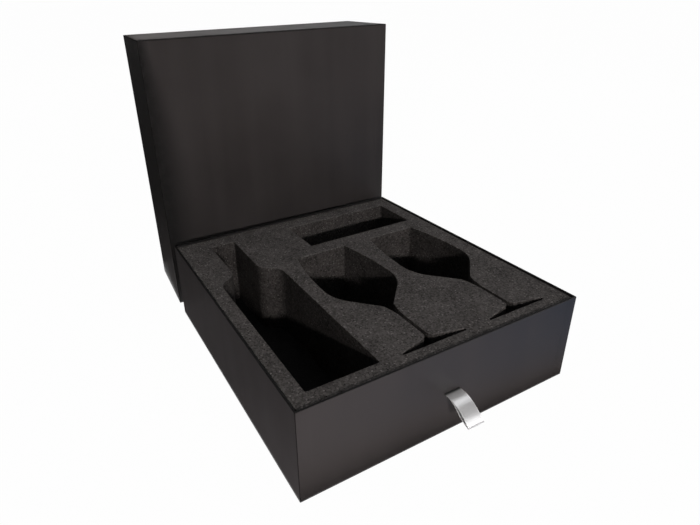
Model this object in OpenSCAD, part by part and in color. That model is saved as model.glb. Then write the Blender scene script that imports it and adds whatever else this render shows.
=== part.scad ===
// Sliding drawer gift box: a rigid board drawer with a cut foam insert, pulled out of
// its slipcase, which stands behind it on its open end. X runs to the right, Y from the
// drawer's front to its back, Z up. The origin is the centre of the drawer's underside.

/* [Drawer] */
// Outer width of the drawer, over its covering paper
drawer_w = 350; // [335:1:400]
// Outer depth of the drawer, from its front to its back
drawer_d = 370; // [355:1:420]
// Outer height of the drawer
drawer_h = 108; // [95:1:140]

/* [Board and paper] */
// Thickness of the grey board in every panel
board_t = 2; // [1.5:0.1:3]
// Thickness of the black covering paper
wrap_t = 0.25; // [0.15:0.05:0.4]
// Thickness of the lining paper
liner_t = 0.2; // [0.15:0.05:0.4]
// Thickness of the sheet glued over a base or a closed end
sheet_t = 0.2; // [0.15:0.05:0.4]
// Thickness of the paper stays that hold the board corners
stay_t = 0.15; // [0.1:0.05:0.3]
// Leg of a corner stay, along each board that it joins
stay_leg = 15; // [8:1:25]
// How far the covering paper turns over an open rim and down the inside
turn_in = 18; // [12:1:30]
// How far the covering paper turns under a base or over a closed end
turn_under = 15; // [10:1:25]
// How far the lining stops short of an open rim
liner_drop = 6; // [3:0.5:10]
// How far a glued sheet stays back from the outer edges
sheet_inset = 2.5; // [1.5:0.5:6]
// Radius of the covering paper round an upright corner
corner_r = 0.7; // [0.3:0.1:1.5]

/* [Slipcase] */
// Clearance between the drawer and the slipcase on each side, when it is pushed in
slide_clear = 0.5; // [0.3:0.1:1.5]
// Least gap between the drawer's back and the slipcase that stands behind it
sleeve_gap = 12; // [4:0.5:60]
// Turn of the standing slipcase about the vertical, in degrees
sleeve_turn = -2.75; // [-8:0.25:8]
// Sideways offset of the standing slipcase
sleeve_shift = 4.3; // [-20:0.1:20]

/* [Foam insert] */
// Clearance between the foam and the drawer's lining on each side
foam_gap = 0.5; // [0.3:0.1:1.5]
// How far the foam's top lies below the drawer's rim
foam_recess = 1.5; // [0.5:0.5:6]
// Thickness of the uncut foam pad under the cut block
pad_t = 12; // [6:1:20]

/* [Bottle pocket] */
// Web between the drawer's left side and the bottle pocket
bottle_side_web = 20.6; // [12:0.1:26]
// Web between the drawer's front and the foot of the bottle pocket
bottle_front_web = 20.7; // [12:0.1:26]
// Width of the bottle pocket's body
bottle_w = 79.5; // [74:0.5:84]
// Length of the straight body, from the pocket's foot to the shoulder
bottle_body_l = 206; // [180:1:220]
// Width of the bottle pocket's neck
neck_w = 33.5; // [28:0.5:38]
// Whole length of the bottle pocket
bottle_l = 321; // [300:1:330]
// Radius of the bottle's shoulder, and of the sweep from it to the neck
shoulder_r = 20; // [14:1:22]

/* [Glass pockets] */
// Web between the bottle pocket and the first glass pocket
bottle_glass_web = 18.8; // [12:0.1:24]
// Web between the two glass pockets
glass_web = 20.4; // [12:0.1:24]
// Web between the drawer's front and the foot of a glass pocket
glass_front_web = 17.8; // [12:0.1:26]
// Whole length of a glass pocket, from foot to rim
glass_l = 231; // [215:1:240]
// Width of the bowl at its widest
bowl_w = 93; // [86:0.5:96]
// Width of the bowl at its rim
rim_w = 72; // [60:0.5:80]
// Height above the foot at which the bowl is widest
bowl_widest = 142; // [130:1:150]
// Height above the foot at which the bowl meets the stem
bowl_bottom = 79.5; // [72:0.5:84]
// Radius of the bowl below its widest place
bowl_r = 50; // [48:1:54]
// Width of the bowl where it meets the stem
bowl_root_w = 13; // [11:0.5:16]
// Width of the stem slot
stem_w = 4; // [3.4:0.1:6]
// Width of the glass's foot
foot_w = 80; // [70:0.5:84]
// Height of the foot's edge
foot_edge = 2.2; // [1.6:0.1:4]
// Rise of the foot's upper face from its edge inwards, in degrees
foot_rise = 13.8; // [10:0.2:18]
// Radius between the foot and the stem
foot_r = 8; // [5:0.5:10]

/* [Accessory pocket] */
// Width of the accessory pocket
accessory_w = 163.8; // [120:0.1:170]
// Length of the accessory pocket, front to back
accessory_l = 69.2; // [50:0.1:74]
// Web between the drawer's right side and the accessory pocket
accessory_side_web = 22.8; // [14:0.1:30]
// Web between the glasses' rims and the accessory pocket
accessory_web = 24; // [14:0.1:28]

/* [Ribbon pull] */
// Width of the satin ribbon
ribbon_w = 20; // [12:0.5:30]
// Thickness of one layer of ribbon
ribbon_t = 0.3; // [0.2:0.05:0.4]
// Clearance at each end of the ribbon in its slot
slot_end_clear = 1; // [0.5:0.1:2]
// Clearance over the two layers in the slot, where they lie on its lower edge
slot_over = 1.2; // [0.5:0.1:2]
// Clearance under the two layers in the slot
slot_under = 0.2; // [0.1:0.05:0.5]
// Sideways place of the slot
slot_x = 1.5; // [-20:0.5:20]
// Height of the slot above the drawer's underside
slot_z = 52; // [40:1:60]
// How far the folded end of the loop stands in front of the drawer
pull_reach = 36; // [24:1:60]
// How far the folded end of the loop hangs below the slot
pull_drop = 16.2; // [8:0.2:22]
// How far the two layers of the loop part, at their widest
pull_part = 4.3; // [2:0.1:8]
// Length of each glued end inside the front
tail_l = 30; // [20:1:36]

/* [Hidden] */
$fn = 72;

// Space left under a lining for the paper or the ribbon that lies there
under_liner = max(wrap_t, ribbon_t) + 0.05;
skin = wrap_t + stay_t;
wall_stack = skin + board_t + under_liner + liner_t;
// The paper's outer corner stays clear of the square board corner inside it
fold_r = min(corner_r, 3 * wrap_t);

// Drawer heights, from the underside up
base_z = sheet_t + wrap_t;
wall_z = base_z + board_t;
floor_z = wall_z + liner_t;
board_top = drawer_h - wrap_t;

// Foam
foam_w = drawer_w - 2 * (wall_stack + foam_gap);
foam_d = drawer_d - 2 * (wall_stack + foam_gap);
block_z = floor_z + pad_t;
block_top = drawer_h - foam_recess;

// Pocket places, from the drawer's left side and front
bottle_x = -drawer_w / 2 + bottle_side_web + bottle_w / 2;
bottle_y = -drawer_d / 2 + bottle_front_web;
glass_x = bottle_x + bottle_w / 2 + bottle_glass_web + bowl_w / 2;
glass_pitch = bowl_w + glass_web;
glass_y = -drawer_d / 2 + glass_front_web;
accessory_x = drawer_w / 2 - accessory_side_web - accessory_w / 2;
accessory_y = glass_y + glass_l + accessory_web;
pocket_corner_r = 1.5;
stem_r = 90;

// Slipcase
sleeve_w = drawer_w + 2 * (slide_clear + wall_stack);
sleeve_t = drawer_h + 2 * (slide_clear + wall_stack);
sleeve_end = sheet_t + skin + board_t + under_liner + liner_t;
sleeve_l = drawer_d + slide_clear + sleeve_end;
sleeve_y = drawer_d / 2 + sleeve_gap + sleeve_w / 2 * abs(sin(sleeve_turn));

// Ribbon
slot_w = ribbon_w + 2 * slot_end_clear;
slot_low = slot_z - ribbon_t - slot_under;
slot_high = slot_z + ribbon_t + slot_over;
pull_start = 0.7;
pull_steps = 14;

// ---- Shared shapes ----

// A rectangle centred on the origin, with true arcs at its corners
module soft_rect(w, d, r) {
    square([w - 2 * r, d], center = true);
    square([w, d - 2 * r], center = true);
    for (sx = [-1, 1], sy = [-1, 1])
        translate([sx * (w / 2 - r), sy * (d / 2 - r)]) circle(r);
}

// An upright block centred in X and Y, from z0 to z1
module block(w, d, z0, z1) {
    translate([-w / 2, -d / 2, z0]) cube([w, d, z1 - z0]);
}

// An upright block with rounded upright corners
module soft_block(w, d, z0, z1, r) {
    translate([0, 0, z0]) linear_extrude(z1 - z0) soft_rect(w, d, r);
}

// Covering paper round four walls: turned over the rim and down their inside, and
// turned under at the fold. in_w and in_d are the walls' inner sizes.
module covering(w, d, fold, rim, in_w, in_d) {
    lo = min(fold, rim);
    hi = max(fold, rim);
    tuck = rim > fold ? rim - turn_in : rim;
    difference() {
        soft_block(w, d, lo, hi, fold_r);
        block(w - 2 * wrap_t, d - 2 * wrap_t, lo + wrap_t, hi - wrap_t);
        block(in_w - 2 * wrap_t, in_d - 2 * wrap_t, rim - 2 * wrap_t, rim + 2 * wrap_t);
        block(w - 2 * turn_under, d - 2 * turn_under, fold - 2 * wrap_t, fold + 2 * wrap_t);
    }
    difference() {
        block(in_w, in_d, tuck, tuck + turn_in);
        block(in_w - 2 * wrap_t, in_d - 2 * wrap_t, tuck - 1, tuck + turn_in + 1);
    }
}

// Four L-shaped paper stays on the outside of the board corners
module stays(w, d, z0, z1) {
    for (sx = [-1, 1], sy = [-1, 1]) scale([sx, sy, 1])
        difference() {
            translate([w / 2 + stay_t - stay_leg, d / 2 + stay_t - stay_leg, z0])
                cube([stay_leg, stay_leg, z1 - z0]);
            translate([w / 2 - 2 * stay_leg, d / 2 - 2 * stay_leg, z0 - 1])
                cube([2 * stay_leg, 2 * stay_leg, z1 - z0 + 2]);
        }
}

// ---- Drawer ----

board_w = drawer_w - 2 * skin;
board_d = drawer_d - 2 * skin;
inner_w = board_w - 2 * board_t;
inner_d = board_d - 2 * board_t;

module drawer_base_board() {
    color("#8d877c") block(board_w, board_d, base_z, wall_z);
}

module drawer_end_wall() {
    translate([-board_w / 2, board_d / 2 - board_t, wall_z])
        cube([board_w, board_t, board_top - wall_z]);
}

module drawer_side_wall() {
    translate([inner_w / 2, -inner_d / 2, wall_z])
        cube([board_t, inner_d, board_top - wall_z]);
}

// The slot that the ribbon passes through, cut through the whole front
module ribbon_slot() {
    translate([slot_x - slot_w / 2, -drawer_d / 2 - 1, slot_low])
        cube([slot_w, skin + board_t + 2, slot_high - slot_low]);
}

module drawer_front_board() {
    color("#8d877c") difference() {
        mirror([0, 1, 0]) drawer_end_wall();
        ribbon_slot();
    }
}

module drawer_back_board() {
    color("#8d877c") drawer_end_wall();
}

module drawer_left_board() {
    color("#8d877c") mirror([1, 0, 0]) drawer_side_wall();
}

module drawer_right_board() {
    color("#8d877c") drawer_side_wall();
}

module drawer_corner_stays() {
    color("#b9a98a") stays(board_w, board_d, wall_z, board_top - liner_drop);
}

module drawer_wrap() {
    color("#2b2a2b") difference() {
        covering(drawer_w, drawer_d, sheet_t, drawer_h, inner_w, inner_d);
        ribbon_slot();
    }
}

module drawer_base_sheet() {
    color("#242324")
        block(drawer_w - 2 * sheet_inset, drawer_d - 2 * sheet_inset, 0, sheet_t);
}

module drawer_lining() {
    w = inner_w - 2 * under_liner;
    d = inner_d - 2 * under_liner;
    color("#1c1b1c") difference() {
        block(w, d, wall_z, drawer_h - liner_drop);
        block(w - 2 * liner_t, d - 2 * liner_t, floor_z, drawer_h);
    }
}

// ---- Ribbon pull ----

function bezier(p, t) = pow(1 - t, 3) * p[0] + 3 * t * pow(1 - t, 2) * p[1]
    + 3 * t * t * (1 - t) * p[2] + pow(t, 3) * p[3];
function slope(p, t) = 3 * pow(1 - t, 2) * (p[1] - p[0]) + 6 * t * (1 - t) * (p[2] - p[1])
    + 3 * t * t * (p[3] - p[2]);
function across(v) = [-v[1], v[0]] / norm(v);

// Side profile of the loop's upper layer: how far out, and how high above the slot
pull_path = [[pull_start, ribbon_t / 2], [pull_reach * 0.36, pull_drop * 0.15],
    [pull_reach * 0.67, -pull_drop * 0.25], [pull_reach, -pull_drop]];
// How far the lower layer has parted from the upper one, along the loop
function parted(t) = pull_part * sin(180 * t * t);
// A point at a depth under the upper layer's middle
function under(t, depth) = bezier(pull_path, t) - depth * across(slope(pull_path, t));

module ribbon_pull() {
    out = [for (i = [0:pull_steps]) i / pull_steps];
    back = [for (t = out) 1 - t];
    // the layers are pressed together at the slot and at the fold
    gap_out = [for (i = [2:pull_steps - 1]) i / pull_steps];
    gap_back = [for (i = [pull_steps - 1:-1:2]) i / pull_steps];
    color("#b9bbbb")
        translate([slot_x + ribbon_w / 2, -drawer_d / 2, slot_z])
            rotate([90, 0, -90]) linear_extrude(ribbon_w) difference() {
                polygon(concat([for (t = out) under(t, -ribbon_t / 2)],
                    [for (t = back) under(t, 1.5 * ribbon_t + parted(t))]));
                polygon(concat([for (t = gap_out) under(t, ribbon_t / 2)],
                    [for (t = gap_back) under(t, ribbon_t / 2 + parted(t))]));
            }
}

// Both layers pass the slot and part, one up and one down, behind the front board
module ribbon_tails() {
    face = -drawer_d / 2 + skin + board_t;
    color("#b9bbbb") translate([slot_x - ribbon_w / 2, 0, slot_z]) {
        translate([0, -drawer_d / 2, -ribbon_t])
            cube([ribbon_w, skin + board_t + ribbon_t, 2 * ribbon_t]);
        translate([0, face, -tail_l]) cube([ribbon_w, ribbon_t, 2 * tail_l]);
    }
}

// ---- Foam insert ----

module foam_base_pad() {
    color("#3b3a3c") block(foam_w, foam_d, floor_z, block_z);
}

// Points on an arc, and a list without its first point, where the last arc ended
function arc(centre, r, from, to, n) =
    [for (i = [0:n]) let (a = from + (to - from) * i / n) centre + r * [cos(a), sin(a)]];
function onward(points) = [for (i = [1:len(points) - 1]) points[i]];
// The right half of an outline, drawn upwards, and its mirror image back down
function both_sides(half) =
    concat(half, [for (i = [len(half) - 1:-1:0]) [-half[i][0], half[i][1]]]);

// Outline of the bottle, its foot at the origin and its neck towards +Y
module bottle_outline() {
    body = bottle_w / 2;
    neck = neck_w / 2;
    // the shoulder's circle lies inside the outline and the sweep's outside
    shoulder = [body - shoulder_r, bottle_body_l];
    sweep_x = neck + shoulder_r;
    rise = sqrt(pow(2 * shoulder_r, 2) - pow(sweep_x - shoulder[0], 2));
    turn = atan2(rise, sweep_x - shoulder[0]);
    r = pocket_corner_r;
    polygon(both_sides(concat(
        arc([body - r, r], r, -90, 0, 3),
        arc(shoulder, shoulder_r, 0, turn, 9),
        onward(arc(shoulder + [sweep_x - shoulder[0], rise], shoulder_r, 180 + turn, 180, 9)),
        arc([neck - r, bottle_l - r], r, 0, 90, 3))));
}

// Outline of the wine glass, its foot at the origin and its rim towards +Y
module glass_outline() {
    half = bowl_w / 2;
    // a flat arc from the widest place to the rim
    side_h = glass_l - bowl_widest;
    side_in = (bowl_w - rim_w) / 2;
    side_r = (side_h * side_h + side_in * side_in) / (2 * side_in);
    // a straight flank from the stem, tangent to the bowl's circle
    root = [bowl_root_w / 2, bowl_bottom];
    centre = [half - bowl_r, bowl_widest];
    reach = norm(centre - root);
    flank = atan2(centre[1] - root[1], centre[0] - root[0]) - asin(bowl_r / reach);
    // the stem narrows from the bowl along a long arc
    stem = stem_w / 2;
    stem_in = root[0] - stem;
    stem_drop = sqrt(stem_r * stem_r - pow(stem_r - stem_in, 2));
    // the foot's sloping face runs into the stem along a small arc
    foot_x = stem + foot_r;
    foot_y = foot_edge + (foot_w / 2 - foot_x) * tan(foot_rise) + foot_r / cos(foot_rise);
    polygon(both_sides(concat(
        [[foot_w / 2, 0], [foot_w / 2, foot_edge]],
        arc([foot_x, foot_y], foot_r, 270 - foot_rise, 180, 6),
        arc([stem + stem_r, bowl_bottom - stem_drop], stem_r, 180,
            180 - asin(stem_drop / stem_r), 5),
        arc(centre, bowl_r, flank - 90, 0, 12),
        onward(arc([half - side_r, bowl_widest], side_r, 0, asin(side_h / side_r), 9)))));
}

// The space cut out of the block, from above its top to its underside
module pocket() {
    translate([0, 0, block_z - 1]) linear_extrude(block_top - block_z + 2) children();
}

module foam_block() {
    color("#454447") difference() {
        block(foam_w, foam_d, block_z, block_top);
        translate([bottle_x, bottle_y]) pocket() bottle_outline();
        for (i = [0, 1])
            translate([glass_x + i * glass_pitch, glass_y]) pocket() glass_outline();
        translate([accessory_x, accessory_y + accessory_l / 2]) pocket()
            soft_rect(accessory_w, accessory_l, pocket_corner_r);
    }
}

// ---- Slipcase, standing on its open end ----

case_board_w = sleeve_w - 2 * skin;
case_board_d = sleeve_t - 2 * skin;
case_inner_w = case_board_w - 2 * board_t;
case_inner_d = case_board_d - 2 * board_t;
case_top = sleeve_l - sheet_t - skin;

// Puts a slipcase piece, modelled about its own upright axis, where it stands
module standing() {
    translate([sleeve_shift, sleeve_y, 0]) rotate([0, 0, sleeve_turn])
        translate([0, sleeve_t / 2, 0]) children();
}

module case_large_wall() {
    translate([-case_board_w / 2, case_board_d / 2 - board_t, wrap_t])
        cube([case_board_w, board_t, case_top - wrap_t]);
}

module case_narrow_wall() {
    translate([case_inner_w / 2, -case_inner_d / 2, wrap_t])
        cube([board_t, case_inner_d, case_top - wrap_t]);
}

module sleeve_face_board() {
    color("#8d877c") standing() mirror([0, 1, 0]) case_large_wall();
}

module sleeve_back_board() {
    color("#8d877c") standing() case_large_wall();
}

module sleeve_left_board() {
    color("#8d877c") standing() mirror([1, 0, 0]) case_narrow_wall();
}

module sleeve_right_board() {
    color("#8d877c") standing() case_narrow_wall();
}

module sleeve_end_board() {
    color("#8d877c") standing()
        block(case_inner_w, case_inner_d, case_top - board_t, case_top);
}

module sleeve_corner_stays() {
    color("#b9a98a") standing() stays(case_board_w, case_board_d, liner_drop, case_top);
}

module sleeve_wrap() {
    color("#2b2a2b") standing()
        covering(sleeve_w, sleeve_t, sleeve_l - sheet_t, 0, case_inner_w, case_inner_d);
}

module sleeve_end_sheet() {
    color("#242324") standing()
        block(sleeve_w - 2 * sheet_inset, sleeve_t - 2 * sheet_inset,
            sleeve_l - sheet_t, sleeve_l);
}

module sleeve_lining() {
    w = case_inner_w - 2 * under_liner;
    d = case_inner_d - 2 * under_liner;
    top = case_top - board_t - under_liner;
    color("#1c1b1c") standing() difference() {
        block(w, d, liner_drop, top);
        block(w - 2 * liner_t, d - 2 * liner_t, -1, top - liner_t);
    }
}

drawer_base_board();
drawer_front_board();
drawer_back_board();
drawer_left_board();
drawer_right_board();
drawer_corner_stays();
drawer_wrap();
drawer_base_sheet();
drawer_lining();
ribbon_tails();
ribbon_pull();
foam_base_pad();
foam_block();
sleeve_face_board();
sleeve_back_board();
sleeve_left_board();
sleeve_right_board();
sleeve_end_board();
sleeve_corner_stays();
sleeve_wrap();
sleeve_end_sheet();
sleeve_lining();
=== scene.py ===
# %% [markdown]
# # A drawer gift box and its slipcase
# The real object is a rigid box: grey board panels, joined at their corners with
# paper stays and covered in black paper. The drawer holds a block of charcoal foam
# with spaces cut for a bottle, two wine glasses and accessories. The slipcase has
# been pulled off and stands behind it on its open end. This lesson dresses the
# model of the boards with paper, foam and a satin ribbon.

# %% Load the frame
import math

import bmesh
import bpy
from mathutils import Matrix, Vector, noise
from mathutils.geometry import delaunay_2d_cdt
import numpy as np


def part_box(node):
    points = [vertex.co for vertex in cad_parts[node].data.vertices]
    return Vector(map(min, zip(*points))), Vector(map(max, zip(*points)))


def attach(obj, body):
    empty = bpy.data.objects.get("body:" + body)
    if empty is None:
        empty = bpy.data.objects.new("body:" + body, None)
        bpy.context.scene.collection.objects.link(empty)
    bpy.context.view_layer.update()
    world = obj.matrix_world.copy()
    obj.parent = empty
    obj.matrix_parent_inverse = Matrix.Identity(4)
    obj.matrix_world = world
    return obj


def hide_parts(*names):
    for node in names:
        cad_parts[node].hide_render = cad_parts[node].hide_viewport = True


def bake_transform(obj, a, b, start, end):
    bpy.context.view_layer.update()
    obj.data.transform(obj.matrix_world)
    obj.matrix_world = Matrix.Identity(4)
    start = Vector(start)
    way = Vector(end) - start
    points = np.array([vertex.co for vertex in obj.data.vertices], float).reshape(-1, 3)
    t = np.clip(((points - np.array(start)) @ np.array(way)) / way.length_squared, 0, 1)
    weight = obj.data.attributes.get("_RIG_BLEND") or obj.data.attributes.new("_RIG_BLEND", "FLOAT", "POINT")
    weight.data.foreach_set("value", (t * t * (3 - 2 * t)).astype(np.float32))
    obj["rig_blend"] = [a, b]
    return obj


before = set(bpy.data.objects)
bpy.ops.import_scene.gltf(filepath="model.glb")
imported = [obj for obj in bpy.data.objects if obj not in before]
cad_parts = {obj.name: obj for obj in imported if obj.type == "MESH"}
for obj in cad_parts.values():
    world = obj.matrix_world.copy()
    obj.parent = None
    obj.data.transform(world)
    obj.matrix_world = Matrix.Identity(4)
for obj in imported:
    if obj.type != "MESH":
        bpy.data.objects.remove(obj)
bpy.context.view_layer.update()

MM = 0.001

# %% [markdown]
# The camera comes first, because every comparison depends on it. Its place was worked
# out from the box's corners in the photograph: it stands to the left in front of the
# drawer, looks down by about 26 degrees and is turned a little about its own axis. The
# photograph is cropped off its lens's centre, so the camera has a small shift.

# %% Camera
PHOTO_W = 700
FOCAL_PIXELS = 528.7
CENTRE_OFFSET_PIXELS = (-34.1, -20.7)
CAMERA_PLACE = Vector((-0.3112, -0.4891, 0.4255))
CAMERA_AZIMUTH = math.radians(-27.991)
CAMERA_ELEVATION = math.radians(25.731)
CAMERA_ROLL = math.radians(-1.934)


def placed(name, data):
    """A new object in the scene, on the given data."""
    thing = bpy.data.objects.new(name, data)
    bpy.context.scene.collection.objects.link(thing)
    return thing


def photo_camera():
    """The camera that took the photograph, from its angles and focal length."""
    data = bpy.data.cameras.new("photo_camera")
    data.sensor_width = 36.0
    data.lens = FOCAL_PIXELS * data.sensor_width / PHOTO_W
    data.shift_x = -CENTRE_OFFSET_PIXELS[0] / PHOTO_W
    data.shift_y = CENTRE_OFFSET_PIXELS[1] / PHOTO_W
    camera = placed("photo_camera", data)
    level = math.cos(CAMERA_ELEVATION)
    back = Vector((math.sin(CAMERA_AZIMUTH) * level,
                   -math.cos(CAMERA_AZIMUTH) * level, math.sin(CAMERA_ELEVATION)))
    right = (-back).cross(Vector((0, 0, 1))).normalized()
    up = right.cross(-back)
    turn = Matrix.Rotation(CAMERA_ROLL, 3, back)
    axes = Matrix((turn @ right, turn @ up, back)).transposed()
    camera.matrix_world = Matrix.Translation(CAMERA_PLACE) @ axes.to_4x4()
    return camera


bpy.context.scene.camera = photo_camera()
print("lens, mm:", round(bpy.context.scene.camera.data.lens, 2))

# %% [markdown]
# The photograph is a cut-out on white. A pale floor gives that, if camera rays see it
# as nearly white while it still takes a shadow. A mixture of a diffuse and an emission
# shader does so: the light that the floor throws on the box stays that of a plain
# pale floor. The world is dim and even, so that the lamps draw the shadows.

# %% Floor and world
WHITE = (1.0, 1.0, 1.0, 1.0)
FLOOR_GREY = (0.62, 0.62, 0.62, 1.0)
FLOOR_SIZE = 120.0
FLOOR_GLOW = 0.985
WORLD_LIGHT = 0.09


def math_node(tree, operation, first, second=None, clamp=False):
    """A math node on sockets or plain numbers, and its result."""
    node = tree.nodes.new("ShaderNodeMath")
    node.operation = operation
    node.use_clamp = clamp
    for i, value in enumerate((first, second)):
        if value is None:
            continue
        if isinstance(value, (int, float)):
            node.inputs[i].default_value = value
        else:
            tree.links.new(value, node.inputs[i])
    return node.outputs[0]


def bare_tree(holder, output):
    """The node tree of a material or a world, with nothing in it but an output."""
    holder.use_nodes = True
    tree = holder.node_tree
    tree.nodes.clear()
    return tree, tree.nodes.new(output)


def rays_that_see_white(tree):
    """1 for the camera, mirror and glass rays, which see the white background."""
    path = tree.nodes.new("ShaderNodeLightPath").outputs
    seen = math_node(tree, "MAXIMUM", path["Is Camera Ray"], path["Is Glossy Ray"])
    return math_node(tree, "MAXIMUM", seen, path["Is Transmission Ray"])


def pale_floor():
    """A wide floor just under the box."""
    half = FLOOR_SIZE / 2
    mesh = bpy.data.meshes.new("floor")
    corners = [(-half, -half, 0), (half, -half, 0), (half, half, 0), (-half, half, 0)]
    mesh.from_pydata(corners, [], [(0, 1, 2, 3)])
    material = bpy.data.materials.new("pale_floor")
    tree, out = bare_tree(material, "ShaderNodeOutputMaterial")
    mix = tree.nodes.new("ShaderNodeMixShader")
    diffuse = tree.nodes.new("ShaderNodeBsdfDiffuse")
    diffuse.inputs["Color"].default_value = FLOOR_GREY
    glow = tree.nodes.new("ShaderNodeEmission")
    glow.inputs["Color"].default_value = WHITE
    share = math_node(tree, "MULTIPLY", rays_that_see_white(tree), FLOOR_GLOW)
    tree.links.new(share, mix.inputs[0])
    tree.links.new(diffuse.outputs[0], mix.inputs[1])
    tree.links.new(glow.outputs[0], mix.inputs[2])
    tree.links.new(mix.outputs[0], out.inputs["Surface"])
    mesh.materials.append(material)
    return placed("floor", mesh)


def soft_world(strength):
    """Plain grey light from all round, and white to the rays that see the background."""
    world = bpy.data.worlds.new("studio")
    bpy.context.scene.world = world
    tree, out = bare_tree(world, "ShaderNodeOutputWorld")
    shade = tree.nodes.new("ShaderNodeBackground")
    shade.inputs["Color"].default_value = WHITE
    level = tree.nodes.new("ShaderNodeMapRange")
    level.inputs["To Min"].default_value = strength
    level.inputs["To Max"].default_value = 1.0
    tree.links.new(rays_that_see_white(tree), level.inputs["Value"])
    tree.links.new(level.outputs["Result"], shade.inputs["Strength"])
    tree.links.new(shade.outputs[0], out.inputs["Surface"])


pale_floor()
soft_world(WORLD_LIGHT)
bpy.context.scene.view_settings.view_transform = "Standard"
print("world:", bpy.context.scene.world.name)

# %% [markdown]
# Black paper is a dull mirror: what shows on it is mostly what stands round it. A
# photographer sets grey and black cards just outside the picture to keep each side of
# a black box dark, and the eye reads the faint change of tone from card to card as the
# sheen of the paper. These cards are seen only in reflections: the camera and the
# light pass through them. Each corner of a card has its own shade, so that a card can
# fade from one side to the other. The pale cards on the ceiling to the right, and the
# one high at the front right, give the satin ribbon its bands.

# %% Cards round the box
def card_material():
    """Emission in the shade that a card's corners carry."""
    material = bpy.data.materials.new("card")
    tree, out = bare_tree(material, "ShaderNodeOutputMaterial")
    flat = tree.nodes.new("ShaderNodeEmission")
    shade = tree.nodes.new("ShaderNodeAttribute")
    shade.attribute_name = "shade"
    tree.links.new(shade.outputs["Color"], flat.inputs["Color"])
    tree.links.new(flat.outputs[0], out.inputs["Surface"])
    return material


card_paint = card_material()


def card(name, corners, shades):
    """A four-cornered card that shows only in reflections, with a shade at each corner."""
    mesh = bpy.data.meshes.new(name)
    mesh.from_pydata(corners, [], [(0, 1, 2, 3)])
    mesh.materials.append(card_paint)
    colours = mesh.color_attributes.new("shade", "FLOAT_COLOR", "POINT")
    for corner, shade in zip(colours.data, shades):
        corner.color = (*shade, 1)
    piece = placed(name, mesh)
    piece.visible_camera = False
    piece.visible_diffuse = False
    piece.visible_shadow = False


def lying_card(name, low, high, shades, height=0.002):
    """A card at one height. Its shades start at the low corner and go round."""
    corners = [(low[0], low[1], height), (high[0], low[1], height),
               (high[0], high[1], height), (low[0], high[1], height)]
    card(name, corners, shades)


def standing_card(name, start, end, bottom, top, foot, head):
    """An upright card on a line across the floor, with a shade at its foot and its head."""
    card(name, [(*start, bottom), (*end, bottom), (*end, top), (*start, top)],
         [foot, foot, head, head])


NIGHT = (0.02, 0.02, 0.02)
DUSK = (0.055, 0.055, 0.055)
# Next to the box the front cards carry a painted contact shadow of the box on the floor
CONTACT_SHADOW = (0.03, 0.03, 0.03)
WARM_FAR = (1.23, 1.058, 1.022)
WARM_NEAR = (1.08, 0.929, 0.897)
COOL_FAR = (0.0, 0.078, 0.21)
COOL_NEAR = (0.0, 0.13, 0.32)
FAR_FLOOR = (0.42, 0.335, 0.31)
FAR_END = (0.74, 0.62, 0.62)
RIGHT_NEAR = (0.3, 0.3, 0.3)
LEFT_FRONT = (0.5, 0.45, 0.46)
LEFT_NEAR = (0.17, 0.155, 0.158)
LEFT_BACK = (0.12, 0.109, 0.109)
LEFT_END = (0.02, 0.02, 0.02)
BACK_WARM = (0.95, 0.85, 0.82)
BACK_COOL = (1.75, 1.8, 1.85)
RIDGE_GLOW = (1.45, 1.45, 1.47)
FADE_GLOW = (0.7, 0.7, 0.7)
TIP_GLOW = (3.3, 3.3, 3.3)
# The cards end a hair outside the drawer, and far off at the walls of a wide hall
HALL = 5.0
HAIR = 0.1 * MM
drawer_start, drawer_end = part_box("drawer_wrap")
LEFT, FRONT, RIGHT = drawer_start[0] - HAIR, drawer_start[1] - HAIR, drawer_end[0] + HAIR
lying_card("front_strip", (-0.4, -0.235), (0.37, FRONT),
           [WARM_NEAR, COOL_NEAR, CONTACT_SHADOW, CONTACT_SHADOW])
lying_card("front_strip_end", (0.37, -0.235), (0.6, FRONT), [COOL_NEAR] * 2 + [CONTACT_SHADOW] * 2)
lying_card("front_near", (-0.4, -0.45), (0.4, -0.235), [WARM_FAR, COOL_FAR, COOL_NEAR, WARM_NEAR])
lying_card("front_near_end", (0.4, -0.45), (HALL, -0.235), [COOL_FAR] * 2 + [COOL_NEAR] * 2)
lying_card("front_far", (-HALL, -HALL), (0.3, -0.45), [FAR_FLOOR] * 4)
lying_card("front_far_middle", (0.3, -HALL), (1.5, -0.45), [FAR_FLOOR, FAR_END, FAR_END, FAR_FLOOR])
lying_card("front_far_end", (1.5, -HALL), (HALL, -0.45), [FAR_END] * 4)
lying_card("left_front", (-0.4, -0.45), (LEFT, 0), [LEFT_FRONT] * 2 + [LEFT_NEAR] * 2, 0.003)
lying_card("left_near", (-0.4, 0), (LEFT, 0.2), [LEFT_NEAR] * 4, 0.003)
lying_card("left_back", (-0.4, 0.2), (LEFT, 0.7), [LEFT_BACK] * 2 + [LEFT_END] * 2, 0.003)
lying_card("left_far", (-HALL, 0.2), (LEFT, HALL), [NIGHT] * 2 + [DUSK] * 2)
lying_card("left_side", (-HALL, -0.45), (-0.4, 0.2), [NIGHT] * 4)
lying_card("right_near", (RIGHT, FRONT), (1.0, HALL),
           [RIGHT_NEAR, NIGHT, NIGHT, RIGHT_NEAR], 0.003)
lying_card("back_near", (LEFT, 0.36), (RIGHT, HALL),
           [NIGHT, RIGHT_NEAR, RIGHT_NEAR, NIGHT])
lying_card("right_side", (RIGHT, FRONT), (HALL, HALL), [NIGHT] * 4)
lying_card("ceiling", (-HALL, -HALL), (HALL, HALL), [NIGHT] * 4, HALL)
lying_card("ceiling_light", (2.2, -0.8), (HALL, 3.6), [RIDGE_GLOW] * 4, HALL - 0.01)
lying_card("ceiling_fade", (2.2, 3.6), (HALL, HALL), [RIDGE_GLOW] * 2 + [FADE_GLOW] * 2,
           HALL - 0.01)
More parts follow.
